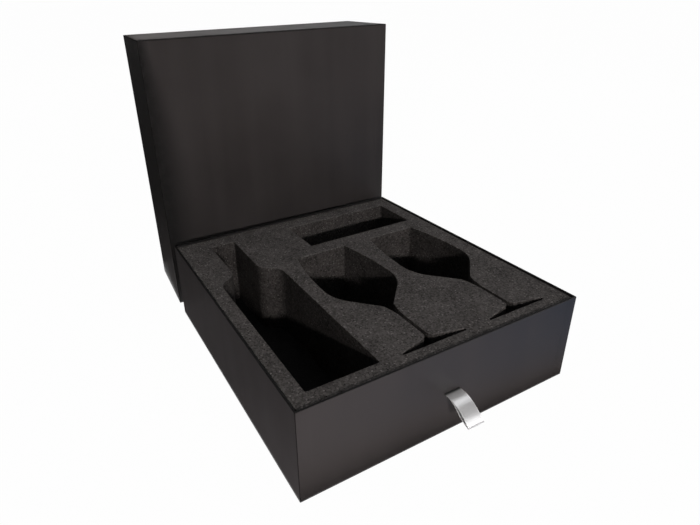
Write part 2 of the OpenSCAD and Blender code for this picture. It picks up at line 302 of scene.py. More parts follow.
standing_card("left_wall", (-HALL, -HALL), (-HALL, HALL), 0, HALL, NIGHT, NIGHT)
standing_card("right_wall", (HALL, -HALL), (HALL, HALL), 0, HALL, NIGHT, NIGHT)
standing_card("back_left", (-HALL, HALL), (-0.2, HALL), 0, HALL, DUSK, NIGHT)
card("back_right", [(-0.2, HALL, 0), (HALL, HALL, 0), (HALL, HALL, 1.5), (-0.2, HALL, 1.5)],
     [BACK_WARM, BACK_COOL, BACK_COOL, BACK_WARM])
standing_card("back_right_top", (-0.2, HALL), (HALL, HALL), 1.5, HALL, NIGHT, NIGHT)
standing_card("front_left", (-HALL, -HALL), (0.3, -HALL), 0, HALL, NIGHT, NIGHT)
standing_card("front_right", (0.3, -HALL), (HALL, -HALL), 0, 2.0, NIGHT, NIGHT)
standing_card("front_right_light", (0.3, -HALL), (HALL, -HALL), 2.0, 4.2, TIP_GLOW, TIP_GLOW)
standing_card("front_right_top", (0.3, -HALL), (HALL, -HALL), 4.2, HALL, NIGHT, NIGHT)

# %% [markdown]
# Cards don't light the box, so lamps do. A small one stands low, in front and to the
# left: it draws crisp shadow lines in the spaces of the foam and leaves their floors
# dark. Three wide soft ones, above, to the right and behind, only fill. None of them
# shows in reflections.

# %% Lamps
LAMP_AIM = Vector((0.0, 0.0, 0.1))
KEY_COLOUR = (1.0, 0.965, 0.94)


def soft_lamp(name, place, width, height, power, colour=(1.0, 1.0, 1.0)):
    """An oblong area lamp that looks at the middle of the box."""
    data = bpy.data.lights.new(name, "AREA")
    data.shape = "RECTANGLE"
    data.size = width
    data.size_y = height
    data.energy = power
    data.color = colour
    lamp = placed(name, data)
    lamp.location = place
    lamp.visible_glossy = False
    lamp.rotation_euler = (LAMP_AIM - Vector(place)).to_track_quat("-Z", "Y").to_euler()
    return lamp


soft_lamp("key_lamp", (-0.70, -2.61, 0.90), 0.3, 0.1, 63, KEY_COLOUR)
soft_lamp("top_lamp", (0.1, 0.1, 2.4), 1.4, 1.4, 8.5)
soft_lamp("right_lamp", (2.4, 0.4, 1.2), 1.4, 1.0, 8)
soft_lamp("back_lamp", (0.6, 3.2, 1.2), 1.4, 1.0, 10)

# %% [markdown]
# The sizes come from the frame. The drawer's paper gives the drawer's outside. The
# slipcase stands turned by a few degrees, so its box in the frame is larger than its
# own width and thickness, and two equations give those back. Board and paper are as
# thick as such boxes have them.

# %% Sizes from the frame
PAPER_T = 0.25 * MM
BOARD_T = 2.0 * MM
SKIN_T = 0.4 * MM
CORNER_R = 0.7 * MM
TURN_IN = 18 * MM
TURN_UNDER = 15 * MM
SLEEVE_TURN = math.radians(-2.75)


def node_box(name):
    """Lowest and highest corner of a node's box, as vectors."""
    return [Vector(corner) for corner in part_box(name)]


drawer_low, drawer_high = node_box("drawer_wrap")
drawer_size = drawer_high - drawer_low
sleeve_low, sleeve_high = node_box("sleeve_wrap")
sleeve_mid = (sleeve_low + sleeve_high) / 2
sleeve_box = sleeve_high - sleeve_low
cosine = math.cos(SLEEVE_TURN)
sine = abs(math.sin(SLEEVE_TURN))
straight_x = sleeve_box.x - 2 * CORNER_R
straight_y = sleeve_box.y - 2 * CORNER_R
spread = cosine ** 2 - sine ** 2
sleeve_w = (straight_x * cosine - straight_y * sine) / spread + 2 * CORNER_R
sleeve_t = (straight_y * cosine - straight_x * sine) / spread + 2 * CORNER_R
print("drawer, mm:", [round(v / MM, 1) for v in drawer_size])
print("slipcase, mm:", round(sleeve_w / MM, 1), round(sleeve_t / MM, 1))

# %% [markdown]
# Three effects are shared by several finishes, so each is a shader node group with
# named inputs. Paper fibre gives a faint mottle, long streaks from the laminating
# rollers and a fine grain. Fold wear reads a mask that the meshes carry: it is 1 on a
# fold, 0 on a flat panel, and in between on the band of painted shade along the
# slipcase's left edge; the paper's finish lays its painted shade by the same mask.
# Foam cells give the pits, in painted shade, and the pale cell walls, with painted
# glints, of cut foam.

# %% Shader helpers
def new_group(name, inputs, outputs):
    """An empty shader node group with float inputs and named outputs."""
    tree = bpy.data.node_groups.new(name, "ShaderNodeTree")
    for label, value in inputs:
        socket = tree.interface.new_socket(label, in_out="INPUT", socket_type="NodeSocketFloat")
        socket.default_value = value
    for label, kind in outputs:
        tree.interface.new_socket(label, in_out="OUTPUT", socket_type=kind)
    return tree, tree.nodes.new("NodeGroupInput"), tree.nodes.new("NodeGroupOutput")


def spread_node(tree, value, low, high, to_low=0.0, to_high=1.0):
    """Maps a value's useful range to another one, and clamps it."""
    node = tree.nodes.new("ShaderNodeMapRange")
    tree.links.new(value, node.inputs["Value"])
    node.inputs["From Min"].default_value = low
    node.inputs["From Max"].default_value = high
    node.inputs["To Min"].default_value = to_low
    node.inputs["To Max"].default_value = to_high
    return node.outputs["Result"]


def noise_node(tree, scale, detail=3.0, rough=0.5, vector=None):
    """A noise texture's value. scale is a number or a socket."""
    node = tree.nodes.new("ShaderNodeTexNoise")
    node.inputs["Detail"].default_value = detail
    node.inputs["Roughness"].default_value = rough
    if isinstance(scale, (int, float)):
        node.inputs["Scale"].default_value = scale
    else:
        tree.links.new(scale, node.inputs["Scale"])
    if vector is not None:
        tree.links.new(vector, node.inputs["Vector"])
    return node.outputs["Fac"]


def mask_node(tree, name):
    """The value of a mask that the mesh carries."""
    node = tree.nodes.new("ShaderNodeAttribute")
    node.attribute_name = name
    return node.outputs["Fac"]


def place_node(tree, stretch=(1, 1, 1)):
    """Object coordinates in metres, stretched along each axis."""
    where = tree.nodes.new("ShaderNodeTexCoord")
    mapping = tree.nodes.new("ShaderNodeMapping")
    mapping.inputs["Scale"].default_value = stretch
    tree.links.new(where.outputs["Object"], mapping.inputs["Vector"])
    return mapping.outputs["Vector"]


# %% Shared effects
STREAK_SCALE = 42.0
STREAK_STRETCH = (1.0, 1.0, 0.08)
RUB_SCALE = 120.0
GRAIN_SCALE = 520.0
CLOUD_SCALE = 30.0
# The share of the cells from which a cell is a deep pit in painted shade, or a bright wall with a painted
# glint
RARE_CELLS = 0.88


def paper_fibre_group():
    """Mottle for the colour, and a fine grain for the bump."""
    tree, given, out = new_group(
        "paper_fibre",
        [("Fibre Scale", 900.0), ("Mottle Scale", 14.0)],
        [("Mottle", "NodeSocketFloat"), ("Grain", "NodeSocketFloat")])
    flat = place_node(tree)
    long = place_node(tree, STREAK_STRETCH)
    blotch = noise_node(tree, given.outputs["Mottle Scale"], detail=4.0, rough=0.55, vector=flat)
    streak = noise_node(tree, STREAK_SCALE, detail=2.0, rough=0.5, vector=long)
    both = math_node(tree, "ADD", math_node(tree, "MULTIPLY", blotch, 0.6),
                     math_node(tree, "MULTIPLY", streak, 0.4))
    tree.links.new(spread_node(tree, both, 0.36, 0.64), out.inputs["Mottle"])
    fibre = noise_node(tree, given.outputs["Fibre Scale"], detail=5.0, rough=0.7, vector=flat)
    tree.links.new(fibre, out.inputs["Grain"])
    return tree


def fold_wear_group():
    """Worn patches along the folds, from the mesh's own fold mask."""
    tree, given, out = new_group("fold_wear", [("Amount", 1.0)], [("Wear", "NodeSocketFloat")])
    rub = noise_node(tree, RUB_SCALE, detail=4.0, rough=0.7, vector=place_node(tree))
    rub = spread_node(tree, rub, 0.42, 0.68)
    worn = math_node(tree, "MULTIPLY", mask_node(tree, "fold"), rub)
    worn = math_node(tree, "MULTIPLY", worn, given.outputs["Amount"], clamp=True)
    tree.links.new(worn, out.inputs["Wear"])
    return tree


def foam_cells_group():
    """The tone of each cell, a few deep pits in painted shade and bright walls with painted glints, and
    their height.
    """
    tree, given, out = new_group(
        "foam_cells",
        [("Cell Scale", 800.0)],
        [("Tone", "NodeSocketFloat"), ("PaintedPitShade", "NodeSocketFloat"), ("PaintedGlint", "NodeSocketFloat"),
         ("Height", "NodeSocketFloat"), ("Cloud", "NodeSocketFloat")])
    where = place_node(tree)
    cells = tree.nodes.new("ShaderNodeTexVoronoi")
    tree.links.new(where, cells.inputs["Vector"])
    tree.links.new(given.outputs["Cell Scale"], cells.inputs["Scale"])
    chance = tree.nodes.new("ShaderNodeSeparateColor")
    tree.links.new(cells.outputs["Color"], chance.inputs["Color"])
    inside = spread_node(tree, cells.outputs["Distance"], 0.75, 0.35)
    grain = noise_node(tree, GRAIN_SCALE, detail=4.0, rough=0.75, vector=where)
    grain = spread_node(tree, grain, 0.3, 0.7)
    tone = math_node(tree, "ADD", math_node(tree, "MULTIPLY", chance.outputs["Blue"], 0.65),
                     math_node(tree, "MULTIPLY", grain, 0.35))
    pit, painted_glint = (math_node(tree, "MULTIPLY", inside,
                            spread_node(tree, chance.outputs[channel], RARE_CELLS, 1.0))
                  for channel in ("Red", "Green"))
    height = math_node(tree, "SUBTRACT", tone, pit)
    cloud = noise_node(tree, CLOUD_SCALE, detail=3.0, rough=0.6, vector=where)
    for value, name in ((tone, "Tone"), (pit, "PaintedPitShade"), (painted_glint, "PaintedGlint"), (height, "Height"),
                        (cloud, "Cloud")):
        tree.links.new(value, out.inputs[name])
    return tree


paper_fibre = paper_fibre_group()
fold_wear = fold_wear_group()
foam_cells = foam_cells_group()
print("shared effects:", [g.name for g in bpy.data.node_groups if g.type == "SHADER"])

# %% [markdown]
# Each finish is one material. The covering paper is black with a matt film over it,
# so it is nearly black face on and picks up a soft sheen at a low angle. Its folds
# and rim tops, and the left edge of the slipcase's face, get a painted shade that
# makes them darker still, apart from small spots where handling has rubbed them. The
# lining is uncoated, the board is rough grey pulp, and the stays are brown gummed
# paper.

# %% Material helpers
def new_material(name):
    """A material with only a Principled shader and its output."""
    material = bpy.data.materials.new(name)
    material.use_nodes = True
    shader = material.node_tree.nodes["Principled BSDF"]
    return material, material.node_tree, shader


def use_group(tree, group, **values):
    """Places a node group and sets its inputs. An underscore stands for a space."""
    node = tree.nodes.new("ShaderNodeGroup")
    node.node_tree = group
    for label, value in values.items():
        node.inputs[label.replace("_", " ")].default_value = value
    return node


def blend_colours(tree, factor, first, second, way="MIX"):
    """Mixes two colours, or a socket and a colour, by a factor."""
    node = tree.nodes.new("ShaderNodeMix")
    node.data_type = "RGBA"
    node.blend_type = way
    tree.links.new(factor, node.inputs["Factor"])
    for slot_index, value in ((6, first), (7, second)):
        if isinstance(value, tuple):
            node.inputs[slot_index].default_value = (*value, 1.0)
        else:
            tree.links.new(value, node.inputs[slot_index])
    return node.outputs[2]


def add_bump(tree, shader, height, strength, depth):
    """Bumps a shader's surface by a height, over a depth in metres."""
    bump = tree.nodes.new("ShaderNodeBump")
    bump.inputs["Strength"].default_value = strength
    bump.inputs["Distance"].default_value = depth
    tree.links.new(height, bump.inputs["Height"])
    tree.links.new(bump.outputs["Normal"], shader.inputs["Normal"])


# %% Paper and board finishes
PAPER_DARK, PAPER_PALE = (0.0187, 0.0163, 0.0162), (0.0283, 0.0248, 0.0247)
FOLD_PAINTED_SHADE, FOLD_RUBBED = (0.003, 0.0028, 0.0028), (0.016, 0.015, 0.015)


def covering_paper():
    """Black paper under a matt film, with painted shade on its folds, which are nearly black, rougher and
    rubbed in spots.
    """
    material, tree, shader = new_material("black_paper")
    fibre = use_group(tree, paper_fibre, Fibre_Scale=1400.0, Mottle_Scale=9.0)
    wear = use_group(tree, fold_wear, Amount=0.5)
    fold = mask_node(tree, "fold")
    base = blend_colours(tree, fibre.outputs["Mottle"], PAPER_DARK, PAPER_PALE)
    # Painted shade: by the fold mask, the folds, the rim tops and the slipcase's left edge turn nearly black
    base = blend_colours(tree, fold, base, FOLD_PAINTED_SHADE)
    base = blend_colours(tree, wear.outputs["Wear"], base, FOLD_RUBBED)
    tree.links.new(base, shader.inputs["Base Color"])
    rough = spread_node(tree, fibre.outputs["Mottle"], 0, 1, 0.42, 0.5)
    rough = math_node(tree, "ADD", rough, math_node(tree, "MULTIPLY", fold, 0.25))
    tree.links.new(rough, shader.inputs["Roughness"])
    shader.inputs["Specular IOR Level"].default_value = 0.5
    add_bump(tree, shader, fibre.outputs["Grain"], 0.12, 0.00008)
    return material


def plain_stock(name, dark, pale, rough, scale, bump):
    """Uncoated paper or board between two shades of one colour."""
    material, tree, shader = new_material(name)
    fibre = use_group(tree, paper_fibre, Fibre_Scale=scale, Mottle_Scale=30.0)
    shade = blend_colours(tree, fibre.outputs["Mottle"], dark, pale)
    shade = blend_colours(tree, spread_node(tree, fibre.outputs["Grain"], 0.35, 0.7), shade, pale)
    tree.links.new(shade, shader.inputs["Base Color"])
    shader.inputs["Roughness"].default_value = rough
    shader.inputs["Specular IOR Level"].default_value = 0.25
    add_bump(tree, shader, fibre.outputs["Grain"], bump, 0.0001)
    return material


black_paper = covering_paper()
lining_paper = plain_stock("lining_paper", (0.010, 0.010, 0.011), (0.018, 0.018, 0.019),
                           rough=0.75, scale=900.0, bump=0.2)
greyboard = plain_stock("greyboard", (0.19, 0.175, 0.15), (0.31, 0.29, 0.25),
                        rough=0.9, scale=500.0, bump=0.4)
stay_paper = plain_stock("stay_paper", (0.36, 0.28, 0.19), (0.5, 0.41, 0.3),
                         rough=0.8, scale=700.0, bump=0.25)
print("paper and board:", [m.name for m in (black_paper, lining_paper, greyboard, stay_paper)])

# %% [markdown]
# Cut foam is matt. Its open cells are between one and two millimetres across, some of
# them dark holes in painted shade and some pale walls with a painted glint, which is
# what makes it look grainy from a step away. A mask gives the cut sides a painted
# shade, a little more on the sides that face left or right than on those that face
# the front or the back.

# %% Foam finish
def foam_finish(name, dark, pale, cut, painted_glint):
    """Foam between two shades, with painted shade in open cells, painted glints on bright cell walls and
    painted shade on the cut sides.
    """
    material, tree, shader = new_material(name)
    cells = use_group(tree, foam_cells, Cell_Scale=560.0)
    shade = math_node(tree, "ADD", cells.outputs["Tone"],
                      spread_node(tree, cells.outputs["Cloud"], 0.3, 0.7, -0.15, 0.15), clamp=True)
    base = blend_colours(tree, shade, dark, pale)
    # Painted shade in the open pits, then painted glints on bright cell walls
    base = blend_colours(tree, cells.outputs["PaintedPitShade"], base, (0.015, 0.014, 0.014))
    base = blend_colours(tree, cells.outputs["PaintedGlint"], base, painted_glint)
    # Painted shade on the cut sides, from the cut mask
    base = blend_colours(tree, mask_node(tree, "cut"), base, cut, "MULTIPLY")
    tree.links.new(base, shader.inputs["Base Color"])
    shader.inputs["Roughness"].default_value = 0.92
    shader.inputs["Specular IOR Level"].default_value = 0.15
    add_bump(tree, shader, cells.outputs["Height"], 0.6, 0.0006)
    return material


CHARCOAL = {"dark": (0.0275, 0.0252, 0.0245), "pale": (0.121, 0.1118, 0.1085),
            "cut": (0.283, 0.275, 0.271), "painted_glint": (0.195, 0.18, 0.175)}
# The pad under the pockets gets a painted shade: near black and without grain, for the shade on the pockets'
# floors
PAD_PAINTED_SHADE = {"dark": (0.006, 0.006, 0.0065), "pale": (0.01, 0.01, 0.0105),
         "cut": (0.8, 0.8, 0.8), "painted_glint": (0.015, 0.015, 0.015)}
foam = foam_finish("foam", **CHARCOAL)
pad_painted_shade_foam = foam_finish("pad_painted_shade_foam", **PAD_PAINTED_SHADE)
print("foams:", foam.name, pad_painted_shade_foam.name)

# %% [markdown]
# The covering paper is one long sheet round four walls. Its section is always the
# same: turned under the base, up the wall, over the rim and down inside. So the mesh
# is that section carried round a rectangle with slightly rounded corners. The folds
# get small radii, because a fold that is bent round board is never sharp, and the
# mask paints a thin dark line of shade along them round each panel and over the top
# of the rim. Each panel is very slightly wavy, and the paper stands a little proud
# near the corners of the front and the back, where the tabs of the side panels lie
# under it.

# %% Section of the paper
RIM_FOLD_R = 0.6 * MM
FOLD_STEPS = 5
PANEL_PITCH = 6 * MM
BESIDE_FOLD = 1.2 * MM


def filleted(points, radii, steps):
    """A line through points, with an arc at each inner point. Also marks its folds."""
    path = [(Vector(points[0]), 0.0)]
    for before, here, after, radius in zip(points, points[1:], points[2:], radii):
        here = Vector(here)
        to_before = (Vector(before) - here).normalized()
        to_after = (Vector(after) - here).normalized()
        start = here + to_before * radius
        centre = start + to_after * radius
        for i in range(steps + 1):
            angle = math.pi / 2 * i / steps
            arm = -to_after * math.cos(angle) - to_before * math.sin(angle)
            path.append((centre + arm * radius, 1.0))
    path.append((Vector(points[-1]), 0.0))
    return path


def with_stations(path, pitch):
    """Adds evenly spaced points to the long stretches, close together near the folds."""
    out = [path[0]]
    for (a, _), (b, bend) in zip(path, path[1:]):
        length = (b - a).length
        if length > pitch:
            near = BESIDE_FOLD / length
            count = max(1, round(length / pitch))
            shares = [near] + [i / count for i in range(1, count)] + [1 - near]
            out += [(a.lerp(b, share), 0.0) for share in shares]
        out.append((b, bend))
    return out


def normals_of(path):
    """For each point of a line, the direction to its right."""
    points = [point for point, bend in path]
    normals = []
    for i, point in enumerate(points):
        ahead = (points[min(i + 1, len(points) - 1)] - points[max(i - 1, 0)]).normalized()
        normals.append(Vector((ahead.y, -ahead.x)))
    return normals


# %% Corners and sides of the rectangle
# A rectangle's corners, anticlockwise: x sign, y sign and the angle where its arc starts
QUARTERS = ((1, -1, -90), (1, 1, 0), (-1, 1, 90), (-1, -1, 180))
CORNER_STEPS = 6
TAB_WIDTH = 13 * MM
TAB_STEP = 0.8 * MM
EDGE_STATIONS = (0.0, 0.6 * MM, 1.5 * MM)
WELD = 0.004 * MM


def side_stations(half):
    """Places along a side from -1 to 1, closer together where the tabs end."""
    near = [*EDGE_STATIONS, TAB_WIDTH - TAB_STEP, TAB_WIDTH, TAB_WIDTH + TAB_STEP]
    inner = TAB_WIDTH + 4 * TAB_STEP
    count = round((half - inner) / PANEL_PITCH)
    near += [inner + (half - inner) * i / count for i in range(count + 1)]
    ends = [1 - place / half for place in near]
    return [-end for end in ends] + ends[-2::-1]


def rectangle_plan(width, depth):
    """The rectangle's stations in order, as (kind, x sign, y sign, place)."""
    along_x = side_stations(width / 2 - CORNER_R)
    along_y = side_stations(depth / 2 - CORNER_R)
    plan = []
    for sx, sy, start in QUARTERS:
        plan += [("corner", sx, sy, math.radians(start + 90 * i / CORNER_STEPS))
                 for i in range(1, CORNER_STEPS)]
        if sx != sy:
            side = along_y if sx > 0 else [-p for p in along_y]
            plan += [("side_x", sx, 0, p) for p in side]
        else:
            side = [-p for p in along_x] if sy > 0 else along_x
            plan += [("side_y", 0, sy, p) for p in side]
    return plan


def plan_point(station, width, depth, inset):
    """Where a station lies when the rectangle is drawn in by an inset."""
    kind, sx, sy, place = station
    edge = max(CORNER_R, inset)
    if kind == "side_x":
        return Vector((sx * (width / 2 - inset), place * (depth / 2 - edge)))
    if kind == "side_y":
        return Vector((place * (width / 2 - edge), sy * (depth / 2 - inset)))
    centre = Vector((sx * (width / 2 - edge), sy * (depth / 2 - edge)))
    return centre + Vector((math.cos(place), math.sin(place))) * (edge - inset)


# %% Relief and mask of the covering
WAVE_DEPTH = 0.22 * MM
WAVE_SCALE = 7.0
TAB_DEPTH = 0.1 * MM
WAVES_FROM, WAVES_FULL = 1.5 * MM, 30 * MM
FOLD_FROM, FOLD_TO = 0.4 * MM, 1.5 * MM
END_FROM, END_TO = 0.8 * MM, 2.5 * MM
RIM_TOP_FROM = 0.6


def ramp(value, low, high):
    """0 below low, 1 above high, and a smooth curve between them."""
    share = min(1.0, max(0.0, (value - low) / (high - low)))
    return share * share * (3 - 2 * share)


def panel_dip(station, width, depth, z, to_end, seed):
    """How far a point of a panel lies inside the panel's outermost plane."""
    kind, sx, sy, place = station
    half = (depth if kind == "side_x" else width) / 2 - CORNER_R
    edge = (1 - abs(place)) * half
    if kind == "side_x":
        past_tab = ramp(edge, FOLD_FROM, FOLD_TO)
    else:
        past_tab = ramp(edge, TAB_WIDTH - TAB_STEP, TAB_WIDTH + TAB_STEP)
    flat = ramp(min(edge, to_end), WAVES_FROM, WAVES_FULL)
    outer = plan_point(station, width, depth, 0)
    swell = noise.noise(Vector((outer.x, outer.y, z)) * WAVE_SCALE + Vector((seed, 0, 0)))
    step = TAB_DEPTH * past_tab * ramp(to_end, END_FROM, END_TO)
    return step + WAVE_DEPTH * flat * (0.5 + 0.5 * swell)


def on_fold(station, inset, to_rim, bent):
    """Whether a point is on the rim's top, on an upright edge or on a bend elsewhere, where the paper gets
    its painted shade.
    """
    rim_top = to_rim < PAPER_T and inset > RIM_TOP_FROM * RIM_FOLD_R
    upright = station[0] == "corner" and inset < CORNER_R
    rim_outside = to_rim < 2 * RIM_FOLD_R and inset < RIM_FOLD_R
    return rim_top or upright or (bent and not rim_outside)


# %% Making the covering
def closed_mesh(bm, name):
    """The mesh of a bmesh, with its faces turned outwards."""
    bmesh.ops.recalc_face_normals(bm, faces=bm.faces)
    mesh = bpy.data.meshes.new(name)
    bm.to_mesh(mesh)
    bm.free()
    return mesh


def smooth_mesh(bm, name, degrees=50):
    """A closed mesh that is shaded smooth, but for edges sharper than an angle."""
    mesh = closed_mesh(bm, name)
    mesh.shade_smooth()
    mesh.set_sharp_from_angle(angle=math.radians(degrees))
    return mesh


def new_piece(name, mesh, material, body):
    """Turns a mesh into a piece of the object that rides on a body."""
    mesh.materials.clear()
    mesh.materials.append(material)
    piece = placed(name, mesh)
    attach(piece, body)
    return piece


def covering_mesh(name, width, depth, fold_z, rim_z, seed):
    """Paper round four walls, from under the fold to the inside of the rim."""
    up = 1 if rim_z > fold_z else -1
    wall = SKIN_T + BOARD_T + PAPER_T
    corners = [(TURN_UNDER, fold_z), (0, fold_z), (0, rim_z), (wall, rim_z),
               (wall, rim_z - up * TURN_IN)]
    section = with_stations(
        filleted(corners, (CORNER_R, RIM_FOLD_R, RIM_FOLD_R), FOLD_STEPS), PANEL_PITCH)
    shown = [point for point, bend in section]
    hidden = [point + way * up * PAPER_T for point, way in zip(shown, normals_of(section))]
    plan = rectangle_plan(width, depth)
    low, high = min(fold_z, rim_z), max(fold_z, rim_z)
    bm = bmesh.new()
    mask = bm.verts.layers.float.new("fold")
    rings = []
    for index, (inset, z) in enumerate(shown + hidden[::-1]):
        bent = index < len(section) and section[index][1] > 0
        to_end = min(z - low, high - z)
        ring = []
        for station in plan:
            dip = 0.0
            if station[0] != "corner" and inset < 2 * PAPER_T:
                dip = panel_dip(station, width, depth, z, to_end, seed)
            vert = bm.verts.new((*plan_point(station, width, depth, inset + dip), z))
            # 1 where the paper gets its painted shade and its wear, 0 elsewhere
            vert[mask] = 1.0 if on_fold(station, inset, abs(z - rim_z), bent) else 0.0
            ring.append(vert)
        rings.append(ring)
    for lower, upper in zip(rings, rings[1:] + rings[:1]):
        for i in range(len(plan)):
            j = (i + 1) % len(plan)
            bm.faces.new((lower[i], lower[j], upper[j], upper[i]))
    bmesh.ops.remove_doubles(bm, verts=bm.verts, dist=WELD)
    return smooth_mesh(bm, name)


def cut_away(mesh, cutter):
    """The mesh with the cutter's space taken out of it."""
    body = placed("uncut", mesh)
    tool = placed("cutter", cutter)
    boolean = body.modifiers.new("cut", "BOOLEAN")
    boolean.operation = "DIFFERENCE"
    boolean.solver = "EXACT"
    boolean.object = tool
    bpy.context.view_layer.update()
    cut = bpy.data.meshes.new_from_object(
        body.evaluated_get(bpy.context.evaluated_depsgraph_get()))
    bpy.data.objects.remove(body)
    bpy.data.objects.remove(tool)
    return cut


# %% [markdown]
# The ribbon's slot goes through the front. A cutter with the slot's outline takes it
# out of the finished paper, so that the paper keeps its own thickness at the edge.

# %% The drawer's covering
SLOT_X = 1.5 * MM
SLOT_W = 22 * MM
SLOT_Z = 52 * MM
SLOT_UNDER = 0.5 * MM
SLOT_OVER = 1.4 * MM
SLOT_ROUNDING = 0.45
CUTTER_OUT = 5 * MM
CUTTER_DEEP = 12 * MM


def rectangle_loop(low, high, radius=0.0, clockwise=False):
    """A rectangle with rounded corners, as a list of points."""
    steps = 4 if radius else 0
    loop = []
    for sx, sy, start in QUARTERS:
        x = high.x - radius if sx > 0 else low.x + radius
        y = high.y - radius if sy > 0 else low.y + radius
        for i in range(steps + 1):
            angle = math.radians(start + (90 * i / steps if steps else 45))
            loop.append(Vector((x + radius * math.cos(angle), y + radius * math.sin(angle))))
    return loop[::-1] if clockwise else loop


def slot_cutter():
    """A long box with rounded ends, through the front."""
    low = Vector((SLOT_X - SLOT_W / 2, SLOT_Z - SLOT_UNDER))
    high = Vector((SLOT_X + SLOT_W / 2, SLOT_Z + SLOT_OVER))
    outline = rectangle_loop(low, high, (high.y - low.y) * SLOT_ROUNDING)
    bm = bmesh.new()
    face = bm.faces.new([bm.verts.new((x, drawer_low.y - CUTTER_OUT, z)) for x, z in outline])
    made = bmesh.ops.extrude_face_region(bm, geom=[face])
    moved = [v for v in made["geom"] if isinstance(v, bmesh.types.BMVert)]
    bmesh.ops.translate(bm, verts=moved, vec=(0, CUTTER_DEEP, 0))
    return closed_mesh(bm, "slot_cutter")


drawer_paper = new_piece(
    "drawer_paper",
    cut_away(covering_mesh("drawer_paper", drawer_size.x, drawer_size.y,
                           drawer_low.z, drawer_high.z, 3.0), slot_cutter()),
    black_paper, "drawer")
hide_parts("drawer_wrap")
print("drawer paper faces:", len(drawer_paper.data.polygons))

# %% [markdown]
# The slipcase is covered in the same way, stood on its open end and turned a little.
# The left edge of its face is softly dark in the photograph, most of all halfway up.
# The mask paints that shade onto the paper as a band.

# %% The slipcase's covering
STANDING = Matrix.Translation((sleeve_mid.x, sleeve_mid.y, 0)) @ Matrix.Rotation(
    SLEEVE_TURN, 4, "Z")
FACE_DEPTH = 1.5 * MM
SHADE_EDGE = 1.5 * MM
SHADE_WIDTH = 12 * MM
SHADE_SWELL = 36 * MM


def paint_shade_left_edge(mesh, width, depth, height):
    """Paints shade onto the face along its left edge, in a band that is widest halfway up."""
    mask = mesh.attributes["fold"].data
    for vertex in mesh.vertices:
        x, y, z = vertex.co
        if y > FACE_DEPTH - depth / 2:
            continue
        band = SHADE_WIDTH + SHADE_SWELL * math.sin(math.pi * z / height)
        shade = 1 - ramp(x + width / 2, SHADE_EDGE, band)
        mask[vertex.index].value = max(mask[vertex.index].value, shade)


sleeve_mesh = covering_mesh("sleeve_paper", sleeve_w, sleeve_t, sleeve_high.z,
                            sleeve_low.z, 11.0)
paint_shade_left_edge(sleeve_mesh, sleeve_w, sleeve_t, sleeve_high.z)
sleeve_mesh.transform(STANDING)
sleeve_paper = new_piece("sleeve_paper", sleeve_mesh, black_paper, "sleeve")
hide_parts("sleeve_wrap")
print("slipcase paper faces:", len(sleeve_paper.data.polygons))

# %% [markdown]
# Foam, pads and glued sheets are all slabs: an outline, some holes, a bottom and a
# top. A triangulation that keeps to given outlines makes the top from a grid of
# points, so that it can be uneven as foam is. The walls are rings of the outline at
# several heights, and the edge between them is rounded by drawing the last rings in.

# %% Slabs
SHARPEST_MITRE = 0.35
GRID_CLEARANCE = 0.55
ROUNDING = (30, 60, 90)
# The two sizes of the surface's unevenness: scale and strength
SWELLS = ((60, 1.0), (190, 0.6))


def loop_normals(loop):
    """Mitred directions to the left of each point of a closed loop."""
    normals = []
    for i, here in enumerate(loop):
        ahead = (loop[(i + 1) % len(loop)] - here).normalized()
        behind = (here - loop[i - 1]).normalized()
        left = Vector((-ahead.y, ahead.x)) + Vector((-behind.y, behind.x))
        reach = left.length_squared / 2
        normals.append(left / max(reach, SHARPEST_MITRE))
    return normals


def inset_loop(loop, depth):
    """A closed loop drawn to its left by a depth."""
    return [point + normal * depth for point, normal in zip(loop, loop_normals(loop))]


def with_pitch(loop, pitch):
    """A closed loop with extra points, so that none of its steps is too long."""
    out = []
    for here, there in zip(loop, loop[1:] + loop[:1]):
        steps = max(1, math.ceil((there - here).length / pitch))
        out += [here.lerp(there, i / steps) for i in range(steps)]
    return out


def clear_of(grid, points, gap):
    """The grid's points that are not close to any outline point."""
    cells = {}
    for point in points:
        cells.setdefault((int(point.x // gap), int(point.y // gap)), []).append(point)
    kept = []
    for spot in grid:
        column, row = int(spot.x // gap), int(spot.y // gap)
        near = [p for i in (-1, 0, 1) for j in (-1, 0, 1)
                for p in cells.get((column + i, row + j), [])]
        if all((p - spot).length > gap for p in near):
            kept.append(spot)
    return kept


def cap_faces(bm, loops, rings, z, pitch, height, upwards):
    """Fills the space between the loops with a grid of points."""
    points = [point for loop in loops for point in loop]
    verts = [vert for ring in rings for vert in ring]
    faces = []
    start = 0
    for loop in loops:
        faces.append(list(range(start, start + len(loop))))
        start += len(loop)
    low = Vector((min(p.x for p in loops[0]), min(p.y for p in loops[0])))
    high = Vector((max(p.x for p in loops[0]), max(p.y for p in loops[0])))
    size = high - low
    across, along = math.ceil(size.x / pitch), math.ceil(size.y / pitch)
    grid = [Vector((low.x + size.x * (i + 0.5 * (j % 2)) / across, low.y + size.y * j / along))
            for i in range(1, across) for j in range(1, along)]
    kept = clear_of(grid, points, pitch * GRID_CLEARANCE)
    joined, _, tris, from_vert = delaunay_2d_cdt(points + kept, [], faces, 2, 1e-7)[:4]
    made = []
    for index, spot in enumerate(joined):
        source = from_vert[index][0] if from_vert[index] else -1
        if 0 <= source < len(verts):
            made.append(verts[source])
        else:
            made.append(bm.verts.new((spot.x, spot.y, z + height(spot))))
    for tri in tris:
        corners = [made[i] for i in tri]
        if not upwards:
            corners.reverse()
        bm.faces.new(corners)


def cut_wall_painted_shade(way):
    """Painted shade for a cut wall: a little less where it faces the front or the back than where it faces a
    side.
    """
    return 0.85 - 0.1 * abs(way.normalized().y)


